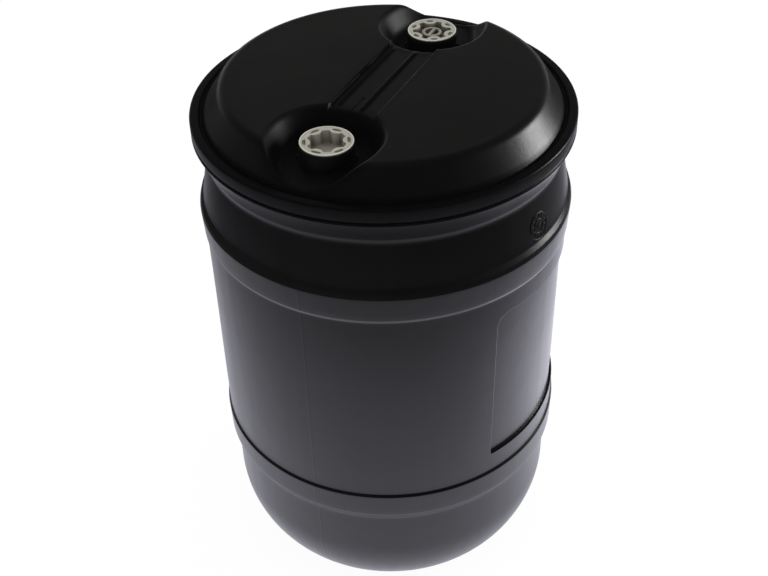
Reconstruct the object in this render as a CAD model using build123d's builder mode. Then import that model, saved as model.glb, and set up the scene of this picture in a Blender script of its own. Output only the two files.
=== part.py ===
from build123d import *
import math
import os

os.makedirs("parts", exist_ok=True)

# Closed-head blow-moulded drum, 220 litre class. Millimetres, +Z up.
# Origin: centre of the foot ring, on the floor. The two bungs stand on the Y axis
# (plain filling plug at -Y, plug with the small vent at +Y); the label panel faces +X.
# Names ending in _R are radii, names ending in _Z are heights above the floor.

# ---- side wall, ring to floor ----------------------------------------------------
RING_R = 290.5        # L-ring outside radius
RING_TOP = 844.0      # L-ring top face
RING_LOW = 818.0      # lower edge of the ring's outside wall
RING_IN_R = 277.5
RING_GROOVE_Z = 823.2  # small V-groove round the ring
RING_GROOVE_HALF = 2.0
RING_GROOVE_DEEP = 1.8
NECK_R = 271.7        # waist under the ring
NECK_Z = 779.8
NECK_LOW_R = 284.5
NECK_LOW_Z = 707.0
HOOP1_TOP_R = 289.3   # upper rolling hoop, upper edge
HOOP1_TOP_Z = 699.0
HOOP1_R = 291.3       # upper rolling hoop, at its lip
HOOP1_Z = 692.0
HOOP1_LOW_R = 289.0   # upper rolling hoop, lower edge
HOOP1_LOW_Z = 652.5
BODY_TOP_R = 286.8
BODY_TOP_Z = 646.5
BODY_EDGE_R = BODY_TOP_R - 0.6  # top corner of the body wall profile
BODY_LOW_R = 284.0
BODY_LOW_Z = 283.4
HOOP2_R = 287.2       # lower rolling hoop, at its lip
HOOP2_Z = 279.0
HOOP2_LOW_R = 286.3
HOOP2_LOW_Z = 237.6
TAIL_R = 276.8        # plain wall under the lower hoop
TAIL_Z = 219.3
FOOT_IN_R = 118.0     # inside edge of the foot ring
DISH_R = 64.0         # flat of the pushed-up base
DISH_Z = 13.0

# The turn under the wall: a wide arc, then a tighter one that meets the floor.
TURN1_Z = 141.0       # centre height, where the wall starts to turn under
TURN1_R = 175.0
TURN1_DEG = 37.0
TURN1_X = TAIL_R - TURN1_R
TURN1_ANGLE = math.radians(TURN1_DEG)
JOIN_X = TURN1_X + TURN1_R * math.cos(TURN1_ANGLE)
JOIN_Z = TURN1_Z - TURN1_R * math.sin(TURN1_ANGLE)
TURN2_R = JOIN_Z / (1 - math.sin(TURN1_ANGLE))
TURN2_X = JOIN_X - TURN2_R * math.cos(TURN1_ANGLE)
TURN2_Z = JOIN_Z + TURN2_R * math.sin(TURN1_ANGLE)

# ---- head ------------------------------------------------------------------------
LAND_Z = 885.0        # the two raised lands
LAND_R = 242.0
BEVEL_FOOT_R = 273.0
TROUGH_Z = 838.5
WALL = 4.8            # moulded wall
WALL_LOW = 5.2        # wall of the base and under the wells

# ---- bung wells and channel ------------------------------------------------------
BUNG_Y = 181.0
WELL_Z = 848.0
WELL_HALF_LOW = 64.0
WELL_HALF_TOP = 88.0
WELL_LOFT_TOP = 892.0
WELL_REACH = 1.32     # how far the well is drawn out towards the rim
WELL_GROW = 5.6       # widening of the well for the inside of the wall
CHAN_Z = 878.3
CHAN_X0, CHAN_X1 = -35.0, 39.0
CHAN_HALF_LEN = 128.0
CHAN_CUT_HEIGHT = 20
CHAN_TAPER = -22
RIBS = ((-24.5, 9.0, 2.4), (11.0, 11.0, 3.2))  # centre x, width, height
RIB_HALF_LEN = 98
SLOT_X, SLOT_Y = -2.0, -83
SLOT_LEN, SLOT_W, SLOT_DEEP = 46, 4, 1.6

# ---- label panel -----------------------------------------------------------------
PANEL_LOW, PANEL_TOP = 320.0, 612.0
PANEL_HALF = 140.0
PANEL_CORNER = 22
PANEL_DEEP = 5.0
PANEL_CUT_X, PANEL_CUT_LEN = 150, 170  # start and length of the cutter along X
CONE_LOW_Z, CONE_TOP_Z = 250, 680      # cone that shapes the back of the cutter

# ---- moulded-in necks ------------------------------------------------------------
GAP = 0.03            # clearance between neck and shell
NECK_OD_R = 39.5
NECK_TOP_Z = 871.1
NECK_BORE_R = 35.1
FLANGE_R = 51.0
FLANGE_H = 4.2
FLANGE_LOW_Z = WELL_Z - WALL_LOW - GAP - FLANGE_H
SEAT_BELOW, SEAT_H = 12, 14            # seat cut, starting below the well floor
NECK_COLLAR_R = NECK_OD_R + 1.6
NECK_COLLAR_H = 3.0
LUG_COUNT, LUG_AT_R = 8, NECK_OD_R + 1.2
LUG_L, LUG_W, LUG_H = 4.5, 7, 4.2      # radial, tangential, height

# ---- screw plugs -----------------------------------------------------------------
PLUG_CORE_R = 32.0
PLUG_CREST_R = 34.7
PLUG_LOW_Z = 850.5
COLLAR_R = 34.4
COLLAR_DROP, COLLAR_H = 2.4, 2.6       # start below the head, height
HEAD_R = 38.3
HEAD_Z0, HEAD_Z1 = 873.3, 876.0
RECESS_R, RECESS_DEEP = 36.2, 1.0      # round recess in the head
SOCKET_TAPER = 2.0
POCKET_DEEP = 2.6
SEAL_R = 37.7

# ---- boss in the vent plug, and its small plug -----------------------------------
VENT_BORE_R = 13.4
VENT_CORE_R = 11.8
VENT_CREST_R = 13.0
BOSS_R = 17.5
BOSS_LOW_Z = PLUG_LOW_Z + 3
BOSS_TOP_Z = 866.6
TAP_SEAL_R = 16.2
TAP_SEAL_H = 1.6
TAP_HEAD_Z = BOSS_TOP_Z + TAP_SEAL_H
TAP_HEAD_R, TAP_HEAD_H = 16.0, 4.2
TAP_SHANK, TAP_OVERLAP = 14.6, 0.4     # length below the head, overlap into it
TAP_POCKET_R, TAP_POCKET_DEEP = 11.0, 8.0
TAP_BAR_W = 5.0

# Ridge sections: pitch, width at root and tip, depth sunk into the wall
COARSE_THREAD = dict(pitch=6.0, base=3.0, tip=1.4, bite=0.5)
FINE_THREAD = dict(pitch=2.0, base=1.0, tip=0.4, bite=0.3)

ON_BASE = (Align.CENTER, Align.CENTER, Align.MIN)


def wall_r(z):
    """Radius of the plain body wall at height z."""
    t = (z - BODY_LOW_Z) / (BODY_TOP_Z - BODY_LOW_Z)
    return BODY_LOW_R + t * (BODY_TOP_R - BODY_LOW_R)


def near(x, z):
    """Vertex test: at (x, z) in the profile sketch."""
    return lambda v: abs(v.X - x) < 0.01 and abs(v.Y - z) < 0.01


# Corner rounding of the outside profile, in this order: radius, height, fillet
SKIN_FILLETS = (
    (LAND_R, LAND_Z, 15.0), (RING_R, RING_TOP, 3.0), (RING_IN_R, RING_TOP, 1.5),
    (NECK_R, NECK_Z, 22.0), (NECK_LOW_R, NECK_LOW_Z, 8.0), (HOOP1_R, HOOP1_Z, 4.0),
    (HOOP1_LOW_R, HOOP1_LOW_Z, 2.5), (BODY_EDGE_R, BODY_TOP_Z, 3.0),
    (BODY_LOW_R, BODY_LOW_Z, 1.2), (HOOP2_R, HOOP2_Z, 1.5),
    (HOOP2_LOW_R, HOOP2_LOW_Z, 6.0), (TAIL_R, TAIL_Z, 8.0),
    (FOOT_IN_R, 0, 6.0), (DISH_R, DISH_Z, 12.0),
)

# ---- outside skin: solid of revolution, no openings ------------------------------
with BuildPart() as skin:
    with BuildSketch(Plane.XZ) as profile:
        with BuildLine():
            Polyline((0, LAND_Z), (0, DISH_Z), (DISH_R, DISH_Z), (FOOT_IN_R, 0), (TURN2_X, 0))
            CenterArc((TURN2_X, TURN2_Z), TURN2_R, -90, 90 - TURN1_DEG)
            CenterArc((TURN1_X, TURN1_Z), TURN1_R, -TURN1_DEG, TURN1_DEG)
            Polyline(
                (TAIL_R, TURN1_Z), (TAIL_R, TAIL_Z),
                (HOOP2_LOW_R, HOOP2_LOW_Z), (HOOP2_R, HOOP2_Z),
                (BODY_LOW_R, BODY_LOW_Z), (BODY_EDGE_R, BODY_TOP_Z),
                (HOOP1_LOW_R, HOOP1_LOW_Z), (HOOP1_R, HOOP1_Z), (HOOP1_TOP_R, HOOP1_TOP_Z),
                (NECK_LOW_R, NECK_LOW_Z), (NECK_R, NECK_Z),
                (RING_R - 1.2, RING_LOW - 2.4), (RING_R, RING_LOW),
                (RING_R, RING_GROOVE_Z - RING_GROOVE_HALF),
                (RING_R - RING_GROOVE_DEEP, RING_GROOVE_Z),
                (RING_R, RING_GROOVE_Z + RING_GROOVE_HALF),
                (RING_R, RING_TOP), (RING_IN_R, RING_TOP),
                (BEVEL_FOOT_R + 1.5, TROUGH_Z), (BEVEL_FOOT_R - 0.5, TROUGH_Z),
                (LAND_R, LAND_Z), (0, LAND_Z),
            )
        make_face()
        for x, z, rounding in SKIN_FILLETS:
            fillet(profile.vertices().filter_by(near(x, z)), rounding)
    revolve(axis=Axis.Z)


def well_outline(half, z, side):
    """Well outline: round towards the middle of the head, elliptical towards the rim."""
    centre = (0, side * BUNG_Y)
    with BuildSketch(Plane.XY.offset(z)) as outline:
        with BuildLine():
            CenterArc(centre, half, 0 if side < 0 else 180, 180)
            EllipticalCenterArc(centre, half, half * WELL_REACH,
                                180 if side < 0 else 0, arc_size=180)
        make_face()
    return outline.sketch


def well(side, grow, floor):
    """Tapered well cutter; grow widens it for the inside of the wall."""
    slope = (WELL_HALF_TOP - WELL_HALF_LOW) / (LAND_Z - WELL_Z)
    low = WELL_HALF_LOW + slope * (floor - WELL_Z) + grow
    top = WELL_HALF_LOW + slope * (WELL_LOFT_TOP - WELL_Z) + grow
    with BuildPart() as cutter:
        add(well_outline(low, floor, side))
        add(well_outline(top, WELL_LOFT_TOP, side))
        loft(ruled=True)
    return cutter.part


def channel(grow, floor):
    """Cutter for the channel across the head, widening upwards."""
    with BuildPart() as cutter:
        with BuildSketch(Plane.XY.offset(floor)):
            with Locations(((CHAN_X0 + CHAN_X1) / 2, 0)):
                Rectangle(CHAN_X1 - CHAN_X0 + 2 * grow, 2 * CHAN_HALF_LEN)
        extrude(amount=CHAN_CUT_HEIGHT, taper=CHAN_TAPER)
    return cutter.part


def panel(grow, depth):
    """Rounded patch of the body wall between a sunk cone and open air, facing +X."""
    with BuildPart() as cutter:
        with BuildSketch(Plane.YZ.offset(PANEL_CUT_X)):
            with Locations((0, (PANEL_LOW + PANEL_TOP) / 2)):
                RectangleRounded(2 * PANEL_HALF + 2 * grow,
                                 PANEL_TOP - PANEL_LOW + 2 * grow, PANEL_CORNER)
        extrude(amount=PANEL_CUT_LEN)
        with BuildSketch(Plane.XZ):
            with BuildLine():
                Polyline(
                    (0, CONE_LOW_Z), (wall_r(CONE_LOW_Z) - depth, CONE_LOW_Z),
                    (wall_r(CONE_TOP_Z) - depth, CONE_TOP_Z), (0, CONE_TOP_Z), close=True
                )
            make_face()
        revolve(axis=Axis.Z, mode=Mode.SUBTRACT)
    return cutter.part


# ---- inside cavity: the outside profile set in by the wall, corners eased --------
with BuildPart() as cavity:
    with BuildSketch(Plane.XZ):
        with BuildLine():
            Polyline((0, LAND_Z - WALL), (0, DISH_Z + WALL_LOW),
                     (DISH_R + 2, DISH_Z + WALL_LOW),
                     (FOOT_IN_R + 1, WALL_LOW), (TURN2_X, WALL_LOW))
            CenterArc((TURN2_X, TURN2_Z), TURN2_R - WALL_LOW, -90, 90 - TURN1_DEG)
            CenterArc((TURN1_X, TURN1_Z), TURN1_R - WALL_LOW, -TURN1_DEG, TURN1_DEG)
            Polyline(
                (TAIL_R - WALL_LOW, TURN1_Z), (TAIL_R - WALL_LOW, TAIL_Z + 2),
                (HOOP2_LOW_R - WALL, HOOP2_LOW_Z + 1), (HOOP2_R - WALL, HOOP2_Z - 2),
                (BODY_LOW_R - WALL, BODY_LOW_Z + 2), (BODY_EDGE_R - WALL, BODY_TOP_Z - 2),
                (HOOP1_LOW_R - WALL, HOOP1_LOW_Z - 1.5), (HOOP1_R - WALL, HOOP1_Z - 3),
                (HOOP1_TOP_R - 5.3, HOOP1_TOP_Z - 2),
                (NECK_LOW_R - WALL, NECK_LOW_Z - 4), (NECK_R - WALL, NECK_Z - 2),
                (NECK_R - WALL - 0.4, TROUGH_Z - 3.2),
                (LAND_R - 4.6, LAND_Z - WALL), (0, LAND_Z - WALL),
            )
        make_face()
    revolve(axis=Axis.Z)
    for side in (-1, 1):
        add(well(side, WELL_GROW, WELL_Z - WALL_LOW), mode=Mode.SUBTRACT)
    add(channel(WALL, CHAN_Z - WALL), mode=Mode.SUBTRACT)
    add(panel(WALL, PANEL_DEEP + WALL), mode=Mode.SUBTRACT)

# ---- drum shell ------------------------------------------------------------------
with BuildPart() as drum_shell:
    add(skin.part)
    for side in (-1, 1):
        add(well(side, 0, WELL_Z), mode=Mode.SUBTRACT)
    add(channel(0, CHAN_Z), mode=Mode.SUBTRACT)
    add(panel(0, PANEL_DEEP), mode=Mode.SUBTRACT)
    add(cavity.part, mode=Mode.SUBTRACT)
    # moulded ribs lying in the channel, rooted 1 mm into its floor
    for rib_x, width, height in RIBS:
        with BuildSketch(Plane.XZ.offset(RIB_HALF_LEN)):
            with BuildLine():
                Polyline(
                    (rib_x - width / 2, CHAN_Z - 1), (rib_x - width / 2, CHAN_Z),
                    (rib_x - width / 5, CHAN_Z + height), (rib_x + width / 5, CHAN_Z + height),
                    (rib_x + width / 2, CHAN_Z), (rib_x + width / 2, CHAN_Z - 1), close=True
                )
            make_face()
        extrude(amount=-2 * RIB_HALF_LEN)
    # short sunk slot between the ribs, towards -Y
    with BuildSketch(Plane.XY.offset(CHAN_Z - SLOT_DEEP)):
        with Locations((SLOT_X, SLOT_Y)):
            SlotOverall(SLOT_LEN, SLOT_W, rotation=90)
    extrude(amount=4, mode=Mode.SUBTRACT)
    # seats of the two moulded-in necks
    with BuildSketch(Plane.XY.offset(WELL_Z - SEAT_BELOW)):
        with Locations((0, -BUNG_Y), (0, BUNG_Y)):
            Circle(NECK_OD_R + GAP)
    extrude(amount=SEAT_H, mode=Mode.SUBTRACT)


def helix_ridge(y, z0, turns, r_root, r_tip, pitch, base, tip, bite):
    """Trapezoid ridge wound on a vertical cylinder. bite sinks it into its wall."""
    outward = -1 if r_tip < r_root else 1
    root = r_root - outward * bite
    with BuildPart() as ridge:
        with BuildLine() as path:
            Helix(pitch=pitch, height=turns * pitch, radius=r_root, center=(0, y, z0))
        with BuildSketch(Plane(origin=path.line @ 0, x_dir=(1, 0, 0), z_dir=path.line % 0)):
            Polygon(
                (root - r_root, -base / 2), (r_tip - r_root, -tip / 2),
                (r_tip - r_root, tip / 2), (root - r_root, base / 2), align=None
            )
        sweep(is_frenet=True)
    return ridge.part


def make_neck(y):
    """Injection-moulded neck: tube, lugged collar, inner flange, internal thread."""
    with BuildPart() as neck:
        with Locations((0, y, FLANGE_LOW_Z)):
            Cylinder(FLANGE_R, FLANGE_H, align=ON_BASE)
        with Locations((0, y, FLANGE_LOW_Z)):
            Cylinder(NECK_OD_R, NECK_TOP_Z - FLANGE_LOW_Z, align=ON_BASE)
        # collar with lugs resting on the well floor
        with Locations((0, y, WELL_Z + GAP)):
            Cylinder(NECK_COLLAR_R, NECK_COLLAR_H, align=ON_BASE)
        with BuildSketch(Plane.XY.offset(WELL_Z + GAP)):
            with Locations((0, y)):
                with PolarLocations(LUG_AT_R, LUG_COUNT, start_angle=22.5):
                    Rectangle(LUG_L, LUG_W)
        extrude(amount=LUG_H)
        # through bore, cut well past both ends
        with Locations((0, y, 830)):
            Cylinder(NECK_BORE_R, 60, align=ON_BASE, mode=Mode.SUBTRACT)
        chamfer(neck.edges().filter_by(GeomType.CIRCLE).group_by(Axis.Z)[-1], 0.7)
        add(helix_ridge(y, z0=850.4, turns=2.4, r_root=NECK_BORE_R,
                        r_tip=PLUG_CORE_R + 0.4, **COARSE_THREAD))
    return neck.part


def plug_blank(y):
    """Screw plug without its socket: shank, thread, collar and head."""
    with BuildPart() as blank:
        with Locations((0, y, PLUG_LOW_Z)):
            Cylinder(PLUG_CORE_R, HEAD_Z0 - PLUG_LOW_Z + 1, align=ON_BASE)
        chamfer(blank.edges().filter_by(GeomType.CIRCLE).group_by(Axis.Z)[0], 1.2)
        add(helix_ridge(y, z0=853.4, turns=2.2, r_root=PLUG_CORE_R,
                        r_tip=PLUG_CREST_R, **COARSE_THREAD))
        with Locations((0, y, HEAD_Z0 - COLLAR_DROP)):
            Cylinder(COLLAR_R, COLLAR_H, align=ON_BASE)
        with Locations((0, y, HEAD_Z0)):
            Cylinder(HEAD_R, HEAD_Z1 - HEAD_Z0, align=ON_BASE)
        fillet(blank.edges().filter_by(GeomType.CIRCLE).group_by(Axis.Z)[-1], 1.4)
    return blank.part


def socketed_plug(y, phase, socket_r, bite_at, bite_r, depth, pocket_at, pocket_size):
    """Screw plug with a six-lobed socket: a disc less six round bites.

    A shallow oval pocket is sunk over each bite; phase turns both rings (degrees).
    """
    with BuildPart() as plug:
        add(plug_blank(y))
        with BuildSketch(Plane.XY.offset(HEAD_Z1)):
            with Locations((0, y)):
                Circle(RECESS_R)
        extrude(amount=-RECESS_DEEP, mode=Mode.SUBTRACT)
        with BuildSketch(Plane.XY.offset(HEAD_Z1 - RECESS_DEEP)):
            with Locations((0, y)):
                Circle(socket_r)
                with PolarLocations(bite_at, 6, start_angle=phase):
                    Circle(bite_r, mode=Mode.SUBTRACT)
        extrude(amount=-depth, taper=SOCKET_TAPER, mode=Mode.SUBTRACT)
        with BuildSketch(Plane.XY.offset(HEAD_Z1 - RECESS_DEEP)):
            with Locations((0, y)):
                with PolarLocations(pocket_at, 6, start_angle=phase):
                    Ellipse(*pocket_size)
        extrude(amount=-POCKET_DEEP, mode=Mode.SUBTRACT)
    return plug.part


# ---- plain filling plug: deep cup ------------------------------------------------
fill_plug = socketed_plug(
    -BUNG_Y, phase=30, socket_r=28.5, bite_at=33.6, bite_r=11.2, depth=19.5,
    pocket_at=30.9, pocket_size=(2.4, 6.8),
)

# ---- vent plug: shallower socket round a threaded boss ---------------------------
with BuildPart() as vent_plug:
    add(socketed_plug(
        BUNG_Y, phase=0, socket_r=30.0, bite_at=33.0, bite_r=11.8, depth=12.0,
        pocket_at=30.4, pocket_size=(2.8, 5.2),
    ))
    # boss for the small plug
    with BuildSketch(Plane.XY.offset(BOSS_LOW_Z)):
        with Locations((0, BUNG_Y)):
            Circle(BOSS_R)
    extrude(amount=BOSS_TOP_Z - BOSS_LOW_Z)
    with BuildSketch(Plane.XY.offset(PLUG_LOW_Z - 1)):
        with Locations((0, BUNG_Y)):
            Circle(VENT_BORE_R)
    extrude(amount=30, mode=Mode.SUBTRACT)
    add(helix_ridge(BUNG_Y, z0=855.0, turns=4.6, r_root=VENT_BORE_R,
                    r_tip=VENT_CORE_R + 0.3, **FINE_THREAD))


def seal_ring(y, z, outer, inner, height, rounding):
    """Flat ring with its two outer edges rounded."""
    with BuildPart() as ring:
        with BuildSketch(Plane.XY.offset(z)):
            with Locations((0, y)):
                Circle(outer)
                Circle(inner, mode=Mode.SUBTRACT)
        extrude(amount=height)
        circles = ring.edges().filter_by(GeomType.CIRCLE)
        fillet(circles.sort_by(SortBy.LENGTH)[-2:], rounding)
    return ring.part


def plug_gasket(y):
    """Seal between a neck's top and its plug's head."""
    return seal_ring(y, NECK_TOP_Z, outer=SEAL_R, inner=COLLAR_R + 0.1,
                     height=HEAD_Z0 - NECK_TOP_Z, rounding=0.7)


# ---- small plug in the vent plug's boss ------------------------------------------
with BuildPart() as tap_plug:
    with Locations((0, BUNG_Y, TAP_HEAD_Z - TAP_SHANK)):
        Cylinder(VENT_CORE_R, TAP_SHANK + TAP_OVERLAP, align=ON_BASE)
    chamfer(tap_plug.edges().filter_by(GeomType.CIRCLE).group_by(Axis.Z)[0], 0.8)
    add(helix_ridge(BUNG_Y, z0=856.0, turns=4.2, r_root=VENT_CORE_R,
                    r_tip=VENT_CREST_R, **FINE_THREAD))
    with Locations((0, BUNG_Y, TAP_HEAD_Z)):
        Cylinder(TAP_HEAD_R, TAP_HEAD_H, align=ON_BASE)
    fillet(tap_plug.edges().filter_by(GeomType.CIRCLE).group_by(Axis.Z)[-1], 1.2)
    # two half-moon pockets leave a grip bar
    with BuildSketch(Plane.XY.offset(TAP_HEAD_Z + TAP_HEAD_H)):
        with Locations((0, BUNG_Y)):
            Circle(TAP_POCKET_R)
            Rectangle(TAP_BAR_W, 24, mode=Mode.SUBTRACT)
    extrude(amount=-TAP_POCKET_DEEP, mode=Mode.SUBTRACT)

# ---- export ----------------------------------------------------------------------
pieces = {
    "drum_shell": drum_shell.part,
    "fill_neck": make_neck(-BUNG_Y),
    "vent_neck": make_neck(BUNG_Y),
    "fill_plug": fill_plug,
    "vent_plug": vent_plug.part,
    "fill_gasket": plug_gasket(-BUNG_Y),
    "vent_gasket": plug_gasket(BUNG_Y),
    "tap_plug": tap_plug.part,
    "tap_gasket": seal_ring(BUNG_Y, BOSS_TOP_Z, outer=TAP_SEAL_R, inner=VENT_CREST_R + 0.2,
                            height=TAP_SEAL_H, rounding=0.5),
}
for name, piece in pieces.items():
    piece.label = name
    export_step(piece, f"parts/{name}.step")
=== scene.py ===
"""Closed-head plastic drum with two screw plugs, on a white studio floor.

The drum stands on z = 0 with its axis on Z. The bungs lie on the Y axis, fill at -Y and vent at +Y,
and the sunk label panel faces +X. Geometry is worked out in millimetres and stored in metres.
"""
import bpy
import math
import numpy as np
from mathutils import Matrix, Vector


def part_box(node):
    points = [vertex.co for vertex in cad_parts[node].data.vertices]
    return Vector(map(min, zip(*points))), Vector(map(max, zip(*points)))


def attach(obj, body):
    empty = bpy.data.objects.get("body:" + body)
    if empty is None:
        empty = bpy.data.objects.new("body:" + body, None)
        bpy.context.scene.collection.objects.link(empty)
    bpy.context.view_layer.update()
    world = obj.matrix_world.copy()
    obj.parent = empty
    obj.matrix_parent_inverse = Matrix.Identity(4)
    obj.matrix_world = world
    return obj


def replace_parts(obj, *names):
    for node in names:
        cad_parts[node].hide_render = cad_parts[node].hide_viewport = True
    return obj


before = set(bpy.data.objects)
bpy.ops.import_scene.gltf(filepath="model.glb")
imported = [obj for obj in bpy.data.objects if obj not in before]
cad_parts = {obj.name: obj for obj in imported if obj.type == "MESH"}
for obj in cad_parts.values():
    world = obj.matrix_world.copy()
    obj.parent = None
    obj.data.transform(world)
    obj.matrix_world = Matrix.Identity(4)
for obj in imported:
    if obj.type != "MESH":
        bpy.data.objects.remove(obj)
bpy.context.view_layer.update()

MM = 0.001

# ---------------------------------------------------------------- driving dimensions, mm
vent_low, vent_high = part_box("vent_plug")
BUNG_Y = 1000 * 0.5 * (vent_low[1] + vent_high[1])    # bung axis from the drum axis
TOP = 1000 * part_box("drum_shell")[1][2]

RING_RADIUS = 290.5        # handling ring
RING_TOP = TOP - 41.0
RING_FACE_TOP = 844.0
LAND_RADIUS = 242.0        # raised middle of the head
WALL = 4.8                 # wall thickness
BASE_WALL = 5.2            # thickness of the base and the well floors
FOOT_RISE = 13.0           # the base is dished up by this in the middle

# The bottom corner: an upper arc tangent to the wall, then a lower arc tangent to the ground
CORNER_DEG = 37.0
UPPER_ARC_RADIUS = 175.0
BASE_RADIUS = 276.8
UPPER_ARC_Z = 141.0
corner = math.radians(CORNER_DEG)
UPPER_CENTRE = (BASE_RADIUS - UPPER_ARC_RADIUS, UPPER_ARC_Z)
ARC_JOIN = (UPPER_CENTRE[0] + UPPER_ARC_RADIUS * math.cos(corner),
            UPPER_CENTRE[1] - UPPER_ARC_RADIUS * math.sin(corner))
LOWER_ARC_RADIUS = ARC_JOIN[1] / (1 - math.sin(corner))
LOWER_CENTRE = (ARC_JOIN[0] - LOWER_ARC_RADIUS * math.cos(corner),
                ARC_JOIN[1] + LOWER_ARC_RADIUS * math.sin(corner))

# Sunk label panel
PANEL_LOW, PANEL_TOP = 320.0, 612.0
PANEL_HALF_WIDTH = 140.0
PANEL_DEPTH = 5.0
PANEL_UPPER_FILLET, PANEL_LOWER_FILLET = 22.0, 2.5

# Wells round the bungs, and the channel across the head between them
WELL_FLOOR, WELL_RIM = 848.0, 885.0
WELL_FLOOR_RADIUS, WELL_RIM_RADIUS = 64.0, 82.0
HOLE_RADIUS, HOLE_SEGMENTS = 39.5, 72
CHANNEL_FLOOR = 878.3
CHANNEL_X = (-35.0, 39.0)
CHANNEL_RIBS = ((-24.5, 9.0, 0.9), (11.0, 11.0, 1.5))    # x, width, height

# Low-frequency waviness of the wall
WALL_WAVE = dict(seed=5, scale=260.0)
WALL_WAVE_HEIGHT = 0.30

# ---------------------------------------------------------------- curves and blends


def rounded(corners):
    """Dense polyline through (x, z, fillet radius) corners; without a radius they stay sharp."""
    points = [np.array(corners[0][:2], float)]
    for i in range(1, len(corners) - 1):
        before, vertex, after = (np.array(c[:2], float) for c in corners[i - 1:i + 2])
        radius = corners[i][2] if len(corners[i]) > 2 else 0
        back, ahead = before - vertex, after - vertex
        back_length, ahead_length = np.linalg.norm(back), np.linalg.norm(ahead)
        back, ahead = back / back_length, ahead / ahead_length
        angle = math.acos(max(-1, min(1, float(back @ ahead))))
        if radius <= 0 or angle > math.pi - 0.01:
            points.append(vertex)
            continue
        tangent = min(radius / math.tan(angle / 2), 0.48 * back_length, 0.48 * ahead_length)
        radius = tangent * math.tan(angle / 2)
        count = max(3, int(math.ceil((math.pi - angle) / math.radians(11))))
        middle = back + ahead
        centre = vertex + middle / np.linalg.norm(middle) * (radius / math.sin(angle / 2))
        first, last = vertex + back * tangent - centre, vertex + ahead * tangent - centre
        start = math.atan2(first[1], first[0])
        sweep = math.atan2(last[1], last[0]) - start
        sweep = (sweep + math.pi) % (2 * math.pi) - math.pi
        for k in range(count + 1):
            turn = start + sweep * k / count
            points.append(centre + radius * np.array([math.cos(turn), math.sin(turn)]))
    points.append(np.array(corners[-1][:2], float))
    return np.array(points)


def arc(centre, radius, start, end, count):
    """Points on an arc, with its angles in degrees."""
    turns = [math.radians(start + (end - start) * k / count) for k in range(count + 1)]
    return [(centre[0] + radius * math.cos(t), centre[1] + radius * math.sin(t)) for t in turns]


def corner_arcs(inset, count):
    """The two arcs of the bottom corner, without the first point of each."""
    lower = arc(LOWER_CENTRE, LOWER_ARC_RADIUS - inset, -90, -CORNER_DEG, count)
    upper = arc(UPPER_CENTRE, UPPER_ARC_RADIUS - inset, -CORNER_DEG, 0, count)
    return np.array(lower[1:] + upper[1:])


def resample(line, step_at):
    """March along the line in steps of step_at(z), looking ahead so no fine zone is skipped."""
    points = [line[0]]
    for start, end in zip(line[:-1], line[1:]):
        length = float(np.linalg.norm(end - start))
        if length < 1e-6:
            continue
        along = 0.0
        while True:
            step = min(
                ahead + step_at((start + (end - start) * min(along + ahead, length) / length)[1])
                for ahead in np.linspace(0, 14, 29))
            if along + step >= length * 0.999:
                points.append(end)
                break
            along += step
            points.append(start + (end - start) * along / length)
    return np.array(points)


def smooth_min(a, b, width):
    overlap = np.maximum(width - np.abs(a - b), 0.0) / width
    return np.minimum(a, b) - overlap * overlap * width * 0.25


def smooth_max(a, b, width):
    return -smooth_min(-a, -b, width)


def smooth_step(x, start, end):
    t = np.clip((x - start) / (end - start), 0, 1)
    return t * t * (3 - 2 * t)


def waves(x, y, z, seed, scale):
    """Smooth sum-of-sines waviness, about -1 to 1."""
    count = 14
    draw = np.random.default_rng(seed)
    total = np.zeros_like(x)
    for _ in range(count):
        axis = draw.normal(size=3)
        axis /= np.linalg.norm(axis)
        frequency = (0.6 + 0.9 * draw.random()) * 2 * math.pi / scale
        along = axis[0] * x + axis[1] * y + axis[2] * z
        total += np.sin(frequency * along + draw.random() * 6.28)
    return total / math.sqrt(count)


# ---------------------------------------------------------------- mesh helpers


def ring(angles, radius, z):
    """Points round the axis; radius and z are numbers or one value per angle."""
    z = np.broadcast_to(z, angles.shape)
    return np.stack([radius * np.cos(angles), radius * np.sin(angles), z], -1)


def band_faces(rows, columns, closed=False):
    """Quads between neighbouring rows of points, each row a closed loop."""
    faces = []
    for i in range(rows if closed else rows - 1):
        a, b = i * columns, ((i + 1) % rows) * columns
        for j in range(columns):
            k = (j + 1) % columns
            faces.append((a + j, a + k, b + k, b + j))
    return faces


def skin(rings, closed=False):
    """Mesh through a stack of rings: looped back to the first, or capped by a pole at each end."""
    rings = np.array(rings)
    rows, columns = rings.shape[:2]
    verts = rings.reshape(-1, 3).tolist()
    faces = band_faces(rows, columns, closed)
    if not closed:
        pole = len(verts)
        verts += [[0, 0, float(rings[i, :, 2].mean())] for i in (0, -1)]
        last = (rows - 1) * columns
        for j in range(columns):
            k = (j + 1) % columns
            faces.append((pole, k, j))
            faces.append((pole + 1, last + j, last + k))
    return verts, faces


def join(parts):
    """One (verts, faces) pair from several."""
    verts, faces = [], []
    for part_verts, part_faces in parts:
        offset = len(verts)
        verts += part_verts
        faces += [tuple(i + offset for i in face) for face in part_faces]
    return verts, faces


def make_object(name, verts, faces, material, body, slot):
    mesh = bpy.data.meshes.new(name)
    mesh.from_pydata([tuple(v) for v in np.asarray(verts) * MM], [], faces)
    mesh.validate()
    ob = bpy.data.objects.new(name, mesh)
    bpy.context.scene.collection.objects.link(ob)
    mesh.polygons.foreach_set("use_smooth", [True] * len(mesh.polygons))
    mesh.materials.append(material)
    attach(ob, body)
    return ob


# ---------------------------------------------------------------- shader helpers


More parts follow.
